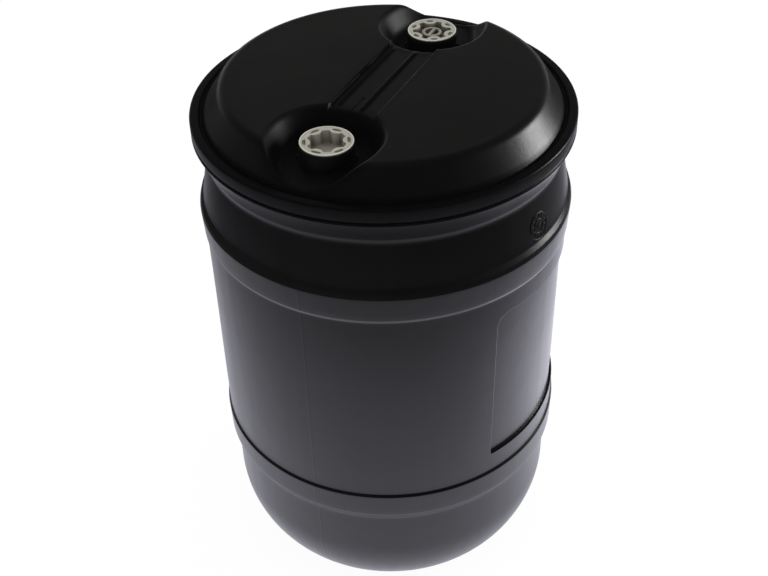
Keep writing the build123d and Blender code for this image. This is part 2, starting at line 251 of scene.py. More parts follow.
class Graph:
    """Node tree of a material or world. All methods but put and node return output sockets."""

    def __init__(self, owner):
        owner.use_nodes = True
        self.nodes = owner.node_tree.nodes
        self.links = owner.node_tree.links
        self.nodes.clear()

    def put(self, node, inputs):
        """Fill inputs, given as {name or index: socket to link or value to set}."""
        for key, value in inputs.items():
            if isinstance(value, bpy.types.NodeSocket):
                self.links.new(value, node.inputs[key])
            else:
                node.inputs[key].default_value = value

    def node(self, kind, inputs=(), **settings):
        new = self.nodes.new("ShaderNode" + kind)
        for key, value in settings.items():
            setattr(new, key, value)
        self.put(new, dict(inputs))
        return new

    def math(self, operation, *values, clamp=False):
        inputs = enumerate(values)
        return self.node("Math", inputs, operation=operation, use_clamp=clamp).outputs[0]

    def plus(self, a, b):
        return self.math("ADD", a, b)

    def times(self, a, b):
        return self.math("MULTIPLY", a, b)

    def distance_from(self, source, centre):
        return self.math("ABSOLUTE", self.math("SUBTRACT", source, centre))

    def length(self, a, b):
        return self.math("SQRT", self.plus(self.times(a, a), self.times(b, b)))

    def rise(self, source, start, end, low=0.0, high=1.0):
        """Smooth step of source from start to end, giving low to high."""
        inputs = {"Value": source, "From Min": start, "From Max": end,
                  "To Min": low, "To Max": high}
        return self.node("MapRange", inputs, interpolation_type="SMOOTHSTEP").outputs["Result"]

    def ramp(self, source, stops):
        """Colour ramp with (position, colour) stops in rising order."""
        node = self.node("ValToRGB", {0: source})
        elements = node.color_ramp.elements
        for element, stop in ((elements[0], stops[0]), (elements[1], stops[-1])):
            element.position, element.color = stop
        for position, colour in stops[1:-1]:
            elements.new(position).color = colour
        return node.outputs[0]

    def mix(self, factor, a, b):
        return self.node("Mix", {0: factor, 6: a, 7: b}, data_type="RGBA").outputs[2]

    def mix_shader(self, factor, a, b):
        return self.node("MixShader", {0: factor, 1: a, 2: b}).outputs[0]

    def coords(self, space="Object", **mapping):
        source = self.node("TexCoord").outputs[space]
        return self.node("Mapping", {"Vector": source, **mapping}).outputs[0]

    def axes(self, vector):
        """The x, y and z of a vector."""
        return self.node("SeparateXYZ", {0: vector}).outputs[:]

    def noise(self, scale, detail=3.0, roughness=0.6, stretch=(1, 1, 1)):
        inputs = {"Scale": scale, "Detail": detail, "Roughness": roughness,
                  "Vector": self.coords(Scale=stretch)}
        return self.node("TexNoise", inputs).outputs["Fac"]

    def bump(self, height, strength, distance):
        inputs = {"Strength": strength, "Distance": distance, "Height": height}
        return self.node("Bump", inputs).outputs[0]


def new_material(name):
    """Material and its graph, with graph.bsdf linked to graph.output."""
    material = bpy.data.materials.new(name)
    graph = Graph(material)
    graph.output = graph.node("OutputMaterial")
    graph.bsdf = graph.node("BsdfPrincipled")
    graph.put(graph.output, {0: graph.bsdf.outputs[0]})
    return material, graph


# ---------------------------------------------------------------- materials, lengths in metres


def drum_material():
    """Black plastic with settled dust and pale scuffs; painted shade cuts its reflections under and
    on the ring, on the well sides and on the channel sides.
    """
    material, g = new_material("drum_black_hdpe")
    x, y, z = g.axes(g.node("TexCoord").outputs["Object"])
    facing_up = g.axes(g.node("NewGeometry").outputs["Normal"])[2]
    cloud = g.noise(scale=5.0, detail=4.0)
    streak = g.noise(scale=60.0, stretch=(1, 1, 0.02))
    grain = g.noise(scale=900.0, detail=2.0)
    scuff = g.noise(scale=38.0, detail=5.0, roughness=0.7, stretch=(1, 1, 0.5))

    # colour: mottled near black, with dust on what faces up except low in the wells
    colour = g.ramp(cloud, [(0.3, (0.0015, 0.0015, 0.0018, 1)), (0.7, (0.0025, 0.0025, 0.0029, 1))])
    dust = g.times(g.math("POWER", g.math("MAXIMUM", facing_up, 0.0), 6.0), 1.0)
    dust = g.times(dust, g.plus(g.times(cloud, 0.6), 0.25))
    dust = g.times(dust, g.rise(z, start=0.858, end=0.877))
    colour = g.mix(dust, colour, (0.0052, 0.0051, 0.0047, 1))
    scuffs = g.ramp(scuff, [(0.70, (0, 0, 0, 1)), (0.80, (1, 1, 1, 1))])
    colour = g.mix(g.times(scuffs, 0.25), colour, (0.012, 0.012, 0.013, 1))

    # roughness: uneven and streaked, more on scuffs and inside the wells
    roughness = g.plus(g.times(cloud, 0.10), 0.235)
    roughness = g.plus(roughness, g.times(streak, 0.08))
    roughness = g.plus(roughness, g.times(scuffs, 0.06))
    from_bung_y = g.math("SUBTRACT", g.math("ABSOLUTE", y), 0.181)
    from_bung = g.length(x, from_bung_y)
    in_well = g.times(g.rise(from_bung, start=0.080, end=0.092, low=1.0, high=0.0),
                      g.rise(z, start=0.846, end=0.848))
    roughness = g.plus(roughness, g.times(in_well, 0.11))

    # specular level: 0.075 on the flared underside of the ring, 0.5 elsewhere; the cut is painted
    # shade under the ring
    level = g.rise(g.distance_from(z, 0.802), start=0.0155, end=0.026, low=0.075, high=0.5)
    # painted shade on the channel sides, their reflections cut: close to one height, and only near
    # the middle of the head
    off_height = g.rise(g.distance_from(z, 0.8817), start=0.0024, end=0.0034)
    off_x = g.rise(g.math("ABSOLUTE", x), start=0.045, end=0.052)
    off_y = g.rise(g.math("ABSOLUTE", y), start=0.096, end=0.108)
    outside_channel_shade = g.math("MAXIMUM", g.math("MAXIMUM", off_x, off_y), off_height)
    # painted shade on the outer face of the ring too: its reflections are cut
    ring_face = g.rise(g.distance_from(z, 0.833), start=0.0115, end=0.0165, low=0.55, high=1.0)
    level = g.times(level, ring_face)
    # painted shade on the well sides too, between floor and rim: their reflections are cut
    well_height = (g.rise(z, start=0.846, end=0.850),
                   g.rise(z, start=0.8800, end=0.8846, low=1.0, high=0.0))
    well_side_shade = g.times(g.rise(from_bung, start=0.088, end=0.104, low=1.0, high=0.0),
                     g.times(*well_height))
    level = g.times(level, g.math("SUBTRACT", 1.0, g.times(well_side_shade, 0.36)))
    level = g.times(level, g.plus(g.times(outside_channel_shade, 0.93), 0.07))

    # bump: lines down the wall, fine pebble and a broader unevenness
    height = g.plus(g.times(streak, 0.25), g.times(grain, 0.10))
    height = g.plus(height, g.times(g.noise(scale=26.0, detail=2.0, roughness=0.5), 0.8))
    g.put(g.bsdf, {
        "Base Color": colour, "Roughness": roughness, "IOR": 1.5, "Specular IOR Level": level,
        "Normal": g.bump(height, strength=0.22, distance=0.0016)})
    return material


def neck_material():
    material, g = new_material("neck_black_hdpe")
    cloud = g.noise(scale=40.0, detail=4.0)
    grain = g.noise(scale=1500.0, detail=2.0)
    g.put(g.bsdf, {
        "Base Color": g.ramp(cloud, [(0.3, (0.0022, 0.0022, 0.0025, 1)),
                                     (0.7, (0.0042, 0.0042, 0.0048, 1))]),
        "Roughness": g.plus(g.times(cloud, 0.15), 0.32),
        "Normal": g.bump(g.plus(grain, cloud), strength=0.15, distance=0.0006)})
    return material


def plug_material():
    """Off-white plastic with painted light and shade: a paler rim, and painted shade in the corners.
    """
    material, g = new_material("plug_natural_hdpe")
    cloud = g.noise(scale=55.0, detail=4.0)
    flow = g.noise(scale=120.0, stretch=(1, 1, 0.2))
    grain = g.noise(scale=1800.0, detail=2.0)
    colour = g.ramp(cloud, [(0.25, (0.215, 0.205, 0.165, 1)), (0.75, (0.31, 0.297, 0.245, 1))])
    # painted light and shade: the raised rim is paler than the sunk face; it starts at 874.2 mm and
    # fades in over 1.8 mm
    z = g.axes(g.node("TexCoord").outputs["Object"])[2]
    above = g.math("DIVIDE", g.math("SUBTRACT", z, 0.8742), 0.0018, clamp=True)
    rim = g.ramp(above, [(0.25, (0, 0, 0, 1)), (0.75, (1, 1, 1, 1))])
    colour = g.mix(rim, colour, (0.60, 0.59, 0.53, 1))
    # painted shade: the colour goes dark where ambient occlusion finds corners and recesses
    occlusion = g.node("AmbientOcclusion", {"Distance": 0.016}, samples=6).outputs["AO"]
    open_area = g.math("POWER", occlusion, 1.6)
    height = g.plus(g.times(grain, 0.5), flow)
    g.put(g.bsdf, {
        "Base Color": g.mix(open_area, (0.085, 0.079, 0.058, 1), colour),
        "Roughness": g.plus(g.times(flow, 0.18), 0.24),
        "IOR": 1.52,
        "Subsurface Weight": 0.18,
        "Subsurface Radius": (1.0, 0.9, 0.75),
        "Subsurface Scale": 0.003,
        "Normal": g.bump(height, strength=0.18, distance=0.0007)})
    return material


def seal_material():
    material, g = new_material("seal_black_rubber")
    cloud = g.noise(scale=90.0, detail=4.0)
    grain = g.noise(scale=1200.0, detail=2.0)
    g.put(g.bsdf, {
        "Base Color": g.ramp(cloud, [(0.3, (0.010, 0.010, 0.010, 1)),
                                     (0.7, (0.018, 0.018, 0.018, 1))]),
        "Roughness": g.plus(g.times(cloud, 0.2), 0.55),
        "Normal": g.bump(grain, strength=0.3, distance=0.0004)})
    return material


DRUM_BLACK = drum_material()
NECK_BLACK = neck_material()
PLUG_NATURAL = plug_material()
SEAL_BLACK = seal_material()

# ---------------------------------------------------------------- drum outline

# r, z, fillet radius: wall from the bottom corner up to the underside of the ring
OUTER_WALL = [
    (BASE_RADIUS, UPPER_ARC_Z), (BASE_RADIUS, 219.3, 8), (286.3, 237.6, 6), (287.2, 279.0, 1.5),
    (284.0, 283.4, 1.2), (286.2, 646.5, 3), (289.0, 652.5, 2.5), (291.3, 692.0, 4),
    (289.3, 699.0, 3), (284.5, 707.0, 8), (271.7, 779.8, 22), (289.3, 815.6, 0.6),
    (RING_RADIUS, 818.0, 0.6), (RING_RADIUS, 821.2, 0.5), (288.7, 823.2, 0.5),
    (RING_RADIUS, 825.2, 0.5)]
# r, z, fillet radius: over the top of the ring and into the trough inside it
RING_LIP = [(RING_RADIUS, RING_FACE_TOP, 3), (277.5, RING_FACE_TOP, 1.5), (274.5, 838.5, 1.0)]
INNER_WALL = [
    (BASE_RADIUS - BASE_WALL, UPPER_ARC_Z), (BASE_RADIUS - BASE_WALL, 221.3, 8), (281.5, 238.6, 6),
    (282.4, 277, 2), (279.2, 285.4, 2), (281.4, 644.5, 3), (284.2, 651, 2), (286.5, 689, 3),
    (284, 697, 3), (279.7, 703, 6), (266.9, 777.8, 12), (266.5, 830.0, 4), (264.0, 838.0, 2)]
# z from, z to, step along the outline; the first zone that holds z counts
STEP_ZONES = [
    (318.5, 323.5, 0.45), (609.0, 613.5, 0.45), (588, 618, 1.6), (314, 330, 2.0), (716, 760, 3.0)]
STEP_ELSEWHERE = 11.0
INNER_STEP = 14.0


def outer_step(z):
    return next((step for low, high, step in STEP_ZONES if low < z < high), STEP_ELSEWHERE)


def make_outer_profile():
    foot = rounded([(2.0, FOOT_RISE), (64, FOOT_RISE, 12), (118, 0, 6), (LOWER_CENTRE[0], 0)])
    wall = rounded(OUTER_WALL + RING_LIP)
    return resample(np.concatenate([foot, corner_arcs(0, 12), wall[1:]]), outer_step)


def make_inner_profile():
    rise = FOOT_RISE + BASE_WALL
    foot = rounded([(3.0, rise), (66, rise, 12), (119, BASE_WALL, 6),
                    (LOWER_CENTRE[0], BASE_WALL)])
    line = np.concatenate([foot, corner_arcs(BASE_WALL, 8), rounded(INNER_WALL)[1:]])
    return resample(line, lambda z: INNER_STEP)


def outer_angles():
    """Angles of the outer skin: finer round the bungs and at the sides of the panel."""
    degrees = list(np.arange(0, 360, 0.9))
    for bung in (90, 270):
        degrees += list(np.arange(bung - 33, bung + 33.01, 0.45))
        degrees += [bung + side * d for side in (-1, 1) for d in (0.08, 0.16, 0.26, 0.38, 0.6)]
    for edge in (29.45, -29.45):
        degrees += list(np.arange(edge - 0.55, edge + 0.56, 0.09))
        degrees += list(np.arange(edge - 1.6, edge + 1.61, 0.3))
    for inside in (26.9, -26.9):
        degrees += list(np.arange(inside - 2.0, inside + 2.01, 0.33))
    degrees = np.unique(np.round(np.mod(degrees, 360), 3))
    kept = [degrees[0]]
    for angle in degrees[1:]:
        if angle - kept[-1] >= 0.055:
            kept.append(angle)
    return np.radians(np.array(kept))


def panel_mask(y, z, grow=0.0):
    """1 inside the sunk label panel, 0 outside."""
    half_width = PANEL_HALF_WIDTH + grow
    half_height = (PANEL_TOP - PANEL_LOW) / 2 + grow
    centre = (PANEL_TOP + PANEL_LOW) / 2
    fillet = np.where(z > centre, PANEL_UPPER_FILLET, PANEL_LOWER_FILLET)
    beyond_y = np.abs(y) - (half_width - fillet)
    beyond_z = np.abs(z - centre) - (half_height - fillet)
    distance = (np.hypot(np.maximum(beyond_y, 0), np.maximum(beyond_z, 0))
                + np.minimum(np.maximum(beyond_y, beyond_z), 0) - fillet)
    # a soft wide step up the sides and over the top, a tight one along the bottom
    soft = smooth_step(z, PANEL_LOW + 4.0, PANEL_LOW + 14.0)
    return 1 - smooth_step(distance, -1.5 - 2.1 * soft, 0.3 + 0.5 * soft)


# ---------------------------------------------------------------- head surface

# r, z, fillet radius: from the ring through the trough up to the land
HEAD_LINE = rounded([
    (RING_RADIUS, RING_FACE_TOP), *RING_LIP[1:], (272.5, 838.5, 5.0),
    (LAND_RADIUS, TOP, 17.0), (0.0, TOP)])
HEAD_LINE = HEAD_LINE[np.argsort(HEAD_LINE[:, 0])]


def plain_head_z(r):
    """Head without wells or channel."""
    return np.interp(r, HEAD_LINE[:, 0], HEAD_LINE[:, 1])


def from_bung_axis(x, y):
    return np.hypot(x, np.abs(y) - BUNG_Y)


def well_z(x, y, grow=0.0, floor=WELL_FLOOR):
    """Conical wells, round on the side towards the drum axis and elliptical towards the rim."""
    outward = np.abs(y) - BUNG_Y
    distance = np.hypot(x, np.where(outward > 0, outward / 1.32, outward)) - grow
    slope = (WELL_RIM - WELL_FLOOR) / (WELL_RIM_RADIUS - WELL_FLOOR_RADIUS)
    cone = floor + (distance - WELL_FLOOR_RADIUS) * slope
    return smooth_max(np.full_like(distance, floor), cone, 11.0)


def channel_z(x, y, inset=0.0):
    """Channel along Y; the inner skin lies lower by inset and has neither ribs nor slot."""
    floor = np.full_like(x, CHANNEL_FLOOR - inset)
    slope, blend = (2.4, 2.2) if inset else (6.0, 1.4)
    if not inset:
        fade = 1 - smooth_step(np.abs(y), 90, 101)
        for rib_x, width, height in CHANNEL_RIBS:
            across = np.abs(x - rib_x) / (width / 2)
            floor = floor + height * fade * (1 - smooth_step(across, 0.25, 1.05))
        # short sunk slot on the fill side
        slot = np.hypot(x + 2.0, np.maximum(np.abs(y + 83.0) - 21.0, 0)) - 2.0
        floor = floor - 1.6 * (1 - smooth_step(slot, -1.2, 0.8))
    outside = np.maximum(CHANNEL_X[0] - x, x - CHANNEL_X[1])
    side = CHANNEL_FLOOR - inset + (outside + inset) * slope
    return smooth_max(floor, side, blend)


def head_z(x, y):
    r = np.hypot(x, y)
    z = plain_head_z(r)
    z = smooth_min(z, channel_z(x, y), 1.2)
    z = smooth_min(z, well_z(x, y), 10.0)
    # slight shrinkage waviness on the land
    wave = waves(x, y, z * 0, seed=11, scale=150.0)
    below_land = smooth_step(TOP - z, -1, 1.5)
    z = z - 0.35 * (1 + wave) * 0.5 * (1 - below_land) * (1 - smooth_step(r, 225, 240))
    # the well floor is flat round the neck
    near = from_bung_axis(x, y)
    eased = WELL_FLOOR + (z - WELL_FLOOR) * smooth_step(near, 46, 50)
    return np.where(near < 50, np.where(near < 46, WELL_FLOOR, eased), z)


# ---------------------------------------------------------------- drum body


def outer_rings(profile):
    angles = outer_angles()
    cosines, sines = np.cos(angles), np.sin(angles)
    rings = []
    for r, z in profile:
        x, y = r * cosines, r * sines
        radius = np.full(len(angles), r)
        heights = np.full(len(angles), z)
        if 300 < z < 640:
            radius = radius - PANEL_DEPTH * (panel_mask(y, heights) * (cosines > 0))
        if 20 < z < 835:
            wave = waves(x, y, heights, **WALL_WAVE)
            radius = radius + WALL_WAVE_HEIGHT * wave * (z <= 800) * smooth_step(z, 20, 80)
            # parting line in the plane of the two bungs
            radius = radius + 0.22 * np.exp(-(x / 1.3) ** 2)
        rings.append(ring(angles, radius, heights))
    # head, from the trough inwards
    for r in np.concatenate([np.arange(273.6, 234, -1.25), np.arange(234, 92, -1.75),
                             np.arange(92, 5, -1.6), [3.6, 2.0]]):
        rings.append(ring(angles, r, head_z(r * cosines, r * sines)))
    return rings


def inner_rings():
    """Coarser inside skin."""
    angles = np.radians(np.arange(0, 360, 2.0))
    cosines, sines = np.cos(angles), np.sin(angles)
    floor = WELL_FLOOR - BASE_WALL
    rings = []
    for r, z in make_inner_profile():
        radius = np.full(len(angles), r)
        if 290 < z < 640:
            mask = panel_mask(r * sines, np.full(len(angles), z), WALL) * (cosines > 0)
            radius = radius - PANEL_DEPTH * mask
        rings.append(ring(angles, radius, z))
    for r in np.concatenate([np.arange(262, 6, -4.5), [3.0]]):
        x, y = r * cosines, r * sines
        z = plain_head_z(np.full_like(x, r) + 5.5) - WALL
        z = np.minimum(z, TOP - WALL)
        z = smooth_min(z, well_z(x, y, 5.6, floor), 6.0)
        z = smooth_min(z, channel_z(x, y, WALL), 3.0)
        z = np.where(from_bung_axis(x, y) < 54, floor, z)
        rings.append(ring(angles, r, z))
    return rings


def open_holes(verts, faces, z, cut_radius, facing_up):
    """Cut a hole at each bung and zip its ragged edge to a true circle.

    Adds the circles to verts; returns the new faces and the point indices of each circle.
    """
    points = np.array(verts)
    drop = np.zeros(len(verts), bool)
    for side in (-1, 1):
        distance = np.hypot(points[:, 0], points[:, 1] - side * BUNG_Y)
        drop |= (distance < cut_radius) & (np.abs(points[:, 2] - z) < 12)
    faces = [face for face in faces if not any(drop[i] for i in face)]
    # directed edges with no opposite are the open ones
    edges = {}
    for face in faces:
        for a, b in zip(face, face[1:] + face[:1]):
            if (b, a) in edges:
                edges.pop((b, a))
            else:
                edges[(a, b)] = 1
    full, never = 2 * math.pi, 9e9
    circle_turns = [-math.pi + full * (k + 0.5) / HOLE_SEGMENTS for k in range(HOLE_SEGMENTS)]
    circles = []
    for side in (-1, 1):
        centre = side * BUNG_Y

        def turn_of(i):
            return math.atan2(points[i][1] - centre, points[i][0])

        def in_reach(i):
            distance = np.hypot(points[i][0], points[i][1] - centre)
            return points[i][1] * side > 0 and distance < cut_radius + 25

        def next_turn(turns, i):
            if i + 1 < len(turns):
                return turns[i + 1]
            return turns[0] + full if i < len(turns) else never

        edge = sorted({a for a, b in edges if in_reach(a)}, key=turn_of)
        edge_turns = [turn_of(i) for i in edge]
        circle = list(range(len(verts), len(verts) + HOLE_SEGMENTS))
        for t in circle_turns:
            verts.append([HOLE_RADIUS * math.cos(t), centre + HOLE_RADIUS * math.sin(t), z])
        # step along whichever of edge and circle comes next
        count = len(edge)
        i = j = 0
        while i < count or j < HOLE_SEGMENTS:
            edge_next, circle_next = next_turn(edge_turns, i), next_turn(circle_turns, j)
            on_edge, on_circle = edge[i % count], circle[j % HOLE_SEGMENTS]
            if i < count and (edge_next <= circle_next or j >= HOLE_SEGMENTS):
                i += 1
                new = edge[i % count]
                faces.append((on_circle, on_edge, new) if facing_up else (on_circle, new, on_edge))
            else:
                j += 1
                new = circle[j % HOLE_SEGMENTS]
                faces.append((on_circle, on_edge, new) if facing_up else (on_circle, new, on_edge))
        circles.append(circle)
    return faces, circles


def build_drum(profile):
    verts, faces = skin(outer_rings(profile))
    faces, outer_circles = open_holes(verts, faces, WELL_FLOOR, 41.2, facing_up=True)
    inner_verts, inner_faces = skin(inner_rings())
    inner_faces = [face[::-1] for face in inner_faces]
    inner_faces, inner_circles = open_holes(
        inner_verts, inner_faces, WELL_FLOOR - BASE_WALL, 45.0, facing_up=False)
    offset = len(verts)
    verts, faces = join([(verts, faces), (inner_verts, inner_faces)])
    # short walls of the two holes
    for outer, inner in zip(outer_circles, inner_circles):
        for k in range(HOLE_SEGMENTS):
            m = (k + 1) % HOLE_SEGMENTS
            faces.append((outer[k], outer[m], inner[m] + offset, inner[k] + offset))
    drum = make_object("drum_body", verts, faces, DRUM_BLACK, "drum", "drum_black")
    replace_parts(drum, "drum_shell")


outer_profile = make_outer_profile()
build_drum(outer_profile)

# ---------------------------------------------------------------- moulding dial on the neck
DIAL_AZIMUTH = math.radians(-12.0)
DIAL_Z = 730.2
DIAL_SKIN_RADIUS = 280.0        # turns arc length into angle
DIAL_TICKS = 12
# across (in half widths), height (in ridge heights, or mm where sunk): ridge cross-section
RIDGE_RAISED = [(-0.95, None), (-0.6, 0.8), (-0.2, 1.0), (0.2, 1.0), (0.6, 0.8), (0.95, None)]
RIDGE_EDGE, RIDGE_SUNK = 0.05, -0.7
# points (u, v), half width, height: the three strokes of the arrow
DIAL_ARROW = [
    ([(-6.0, -1.6), (-2.0, -0.3), (2.0, 1.0), (6.4, 2.6)], 0.95, 0.95),
    ([(3.4, 5.0), (4.8, 3.8), (6.0, 2.9)], 0.75, 0.85),
    ([(5.2, -0.8), (5.9, 0.8), (6.4, 2.1)], 0.75, 0.85)]

neck_profile = outer_profile[(outer_profile[:, 1] > 700) & (outer_profile[:, 1] < 800)]
neck_profile = neck_profile[np.argsort(neck_profile[:, 1])]


def on_neck(u, v, lift):
    """Point at arc length u and height v from the dial's centre, lifted off the skin."""
    z = DIAL_Z + v
    r = float(np.interp(z, neck_profile[:, 1], neck_profile[:, 0]))
    x, y = r * math.cos(DIAL_AZIMUTH), r * math.sin(DIAL_AZIMUTH)
    wave = waves(np.array([x]), np.array([y]), np.array([DIAL_Z]), **WALL_WAVE)
    r = r + WALL_WAVE_HEIGHT * float(wave[0]) + lift
    angle = DIAL_AZIMUTH + u / DIAL_SKIN_RADIUS
    return [r * math.cos(angle), r * math.sin(angle), z]


def ridge(path, half_width, height, closed=False):
    """Low rounded ridge along (u, v) points on the neck."""
    section = [(across, RIDGE_EDGE if share is None else height * share)
               for across, share in RIDGE_RAISED]
    section = [(-1.0, RIDGE_SUNK), *section, (1.0, RIDGE_SUNK)]
    verts = []
    count, columns = len(path), len(section)
    for i, (u, v) in enumerate(path):
        before = np.array(path[(i - 1) % count] if closed or i > 0 else path[i])
        after = np.array(path[(i + 1) % count] if closed or i < count - 1 else path[i])
        along = (after - before) / np.linalg.norm(after - before)
        taper = 0.55 if not closed and i in (0, count - 1) else 1.0
        for across, lift in section:
            offset = half_width * across * taper
            verts.append(on_neck(u - along[1] * offset, v + along[0] * offset,
                                 lift * taper if lift > 0 else lift))
    faces = band_faces(count, columns, closed)
    if not closed:
        faces.append(tuple(range(columns - 1, -1, -1)))
        faces.append(tuple((count - 1) * columns + k for k in range(columns)))
    return verts, faces


def circle_path(radius, count):
    turns = [2 * math.pi * k / count for k in range(count)]
    return [(radius * math.cos(t), radius * math.sin(t)) for t in turns]


def build_dial():
    parts = [ridge(circle_path(20.6, 84), half_width=1.05, height=1.1, closed=True),
             ridge(circle_path(10.4, 56), half_width=0.85, height=0.9, closed=True)]
    for k in range(DIAL_TICKS):
        t = 2 * math.pi * (k + 0.5) / DIAL_TICKS
        path = [(r * math.cos(t), r * math.sin(t)) for r in (12.8, 14.4, 16.4, 18.0)]
        parts.append(ridge(path, half_width=0.95, height=0.95))
    parts += [ridge(*stroke) for stroke in DIAL_ARROW]
    make_object("moulding_dial", *join(parts), DRUM_BLACK, "drum", "drum_black")


build_dial()

# ---------------------------------------------------------------- screw plugs
PLUG_ANGLES = np.radians(np.arange(0, 360, 1.0))
LOBES = 6
SHANK_RADIUS = 32.0
SOCKET_DRAFT = math.tan(math.radians(2.5))


def socket_outline(radius, bite_radius, bite_centre, first_deg):
    """Radius per angle of a disc with six round bites and softened corners."""
    outline = np.full(len(PLUG_ANGLES), radius)
    for k in range(LOBES):
        turn = PLUG_ANGLES - math.radians(first_deg + 60 * k)
        turn = (turn + math.pi) % (2 * math.pi) - math.pi
        inside = bite_radius ** 2 - (bite_centre * np.sin(turn)) ** 2
        near = bite_centre * np.cos(turn) - np.sqrt(np.maximum(inside, 0))
        bite = np.where((inside > 0) & (np.abs(turn) < 1.2), near, radius + 9)
        outline = smooth_min(outline, bite, 1.6)
    return outline


def thread(root, tip, z_start, turns, pitch, root_width, tip_width, overlap, steps=60):
    """Thread ridge with faded ends; it points inwards when tip is less than root."""
    verts, faces = [], []
    count = int(turns * steps) + 1
    side = 1 if tip > root else -1
    for i in range(count):
        turn = i / steps * 2 * math.pi
        grown = min(1.0, 0.12 + 0.88 * (min(i, count - 1 - i) / (0.12 * steps)))
        crest = root + (tip - root) * grown
        z = z_start + pitch * i / steps
        root_half = 0.5 * root_width * (0.5 + 0.5 * grown)
        tip_half = 0.5 * tip_width * (0.5 + 0.5 * grown)
        buried = root - side * overlap
        shoulder = crest - side * 0.22
        for r, dz in ((buried, -root_half), (shoulder, -tip_half - 0.12),
                      (crest, -tip_half + 0.12), (crest, tip_half - 0.12),
                      (shoulder, tip_half + 0.12), (buried, root_half)):
            verts.append([r * math.cos(turn), r * math.sin(turn), z + dz])
    for i in range(count - 1):
        a, b = i * 6, (i + 1) * 6
        for k in range(6):
            m = (k + 1) % 6
            faces.append((a + k, b + k, b + m, a + m))
    faces.append((0, 1, 2, 3, 4, 5))
    faces.append(tuple((count - 1) * 6 + k for k in (5, 4, 3, 2, 1, 0)))
    return verts, faces if side > 0 else [face[::-1] for face in faces]


def pocketed_face(outline, top, first_deg, pocket):
    """Rings of the top face from the rim to the socket, with six crescent pockets."""
    pocket_radius, half_width, half_length = pocket
    rings, count = [], 26
    for k in range(count + 1):
        t = k / count
        r = 35.5 * (1 - t) + (outline + 0.75) * t
        z = np.full(len(PLUG_ANGLES), top)
        for lobe in range(LOBES):
            turn = PLUG_ANGLES - math.radians(first_deg + 60 * lobe)
            x, y = r * np.cos(turn), r * np.sin(turn)
            # an ellipse bent round the axis
            across = (np.hypot(x, y) - pocket_radius) / half_width
            along = (np.arctan2(y, x) * pocket_radius) / half_length
            z = z - 2.5 * (1 - smooth_step(np.sqrt(across ** 2 + along ** 2), 0.80, 1.06))
        rings.append((r, z))
    return rings


def build_plug(name, node, body, centre_y, socket_radius, bite_radius, bite_centre, first_deg,
               socket_depth, pocket, boss=None):
    """Plug with a six-lobed socket; boss is (radius, bore radius, top z) of a threaded boss."""
    low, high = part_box(node)
    z0, z1 = 1000 * low[2], 1000 * high[2]
    flange = z1 - 2.7
    top = z1 - 1.0
    outline = socket_outline(socket_radius, bite_radius, bite_centre, first_deg)
    # r, z from the foot of the shank out round the flange to the top face
    rings = [
        (30.8, z0), (31.6, z0 + 0.35), (SHANK_RADIUS, z0 + 1.2), (SHANK_RADIUS, flange - 2.6),
        (32.2, flange - 2.4), (34.2, flange - 2.4), (34.4, flange - 2.2), (34.4, flange - 0.02),
        (34.8, flange), (37.6, flange), (38.05, flange + 0.15), (38.3, flange + 0.5),
        (38.3, z1 - 1.0), (38.2, z1 - 0.5), (37.8, z1 - 0.15), (37.25, z1), (36.8, z1 - 0.05),
        (36.45, z1 - 0.3), (36.2, z1 - 0.75), (35.9, z1 - 0.98)]
    rings += pocketed_face(outline, top, first_deg, pocket)
    # down the socket wall to its floor
    rings += [(outline + 0.40, top - 0.06), (outline + 0.12, top - 0.26), (outline, top - 0.65)]
    for k in range(1, 7):
        down = 0.65 + (socket_depth - 2.0) * k / 6
        rings.append((outline - SOCKET_DRAFT * down, top - down))
    floor = top - socket_depth
    foot = outline - SOCKET_DRAFT * socket_depth
    inner = foot - 1.3
    rings += [(foot - 0.45, floor + 0.45), (inner, floor + 0.05)]
    if boss is None:
        rings += [(inner * t, floor - 0.5 * (1 - t)) for t in (0.8, 0.6, 0.4, 0.2, 0.06)]
        rings = [(2.0, z0), (16.0, z0)] + rings
    else:
        boss_radius, bore, boss_top = boss
        rings += [(inner * (1 - t) + (boss_radius + 0.9) * t, floor) for t in (0.3, 0.6)]
        rings += [
            (boss_radius + 0.9, floor), (boss_radius + 0.25, floor + 0.25),
            (boss_radius, floor + 0.9), (boss_radius, boss_top - 0.5),
            (boss_radius - 0.15, boss_top - 0.15), (boss_radius - 0.5, boss_top),
            (bore + 0.9, boss_top), (bore + 0.3, boss_top - 0.25), (bore, boss_top - 0.9),
            (bore, boss_top - 6), (bore, z0 + 0.4), (bore + 0.4, z0)]
    parts = [skin([ring(PLUG_ANGLES, r, z) for r, z in rings], closed=boss is not None),
             thread(SHANK_RADIUS, 34.7, z0 + 2.9, turns=2.2, pitch=6.0,
                    root_width=3.0, tip_width=1.4, overlap=0.4)]
    if boss is not None:
        parts.append(thread(bore, 12.1, z0 + 4.5, turns=4.6, pitch=2.0,
                            root_width=1.0, tip_width=0.4, overlap=0.3, steps=40))
    verts, faces = join(parts)
    verts = np.array(verts) + [0, centre_y, 0]
    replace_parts(make_object(name, verts, faces, PLUG_NATURAL, body, "plug_natural"), node)


build_plug("fill_plug_body", "fill_plug", "fill_closure", -BUNG_Y,
           socket_radius=28.5, bite_radius=11.2, bite_centre=33.6, first_deg=30.0,
           socket_depth=19.4, pocket=(31.4, 2.5, 7.4))
build_plug("vent_plug_body", "vent_plug", "vent_closure", BUNG_Y,
           socket_radius=30.0, bite_radius=11.8, bite_centre=33.0, first_deg=0.0,
           socket_depth=12.0, pocket=(30.9, 2.9, 5.6), boss=(17.5, 13.4, 866.6))

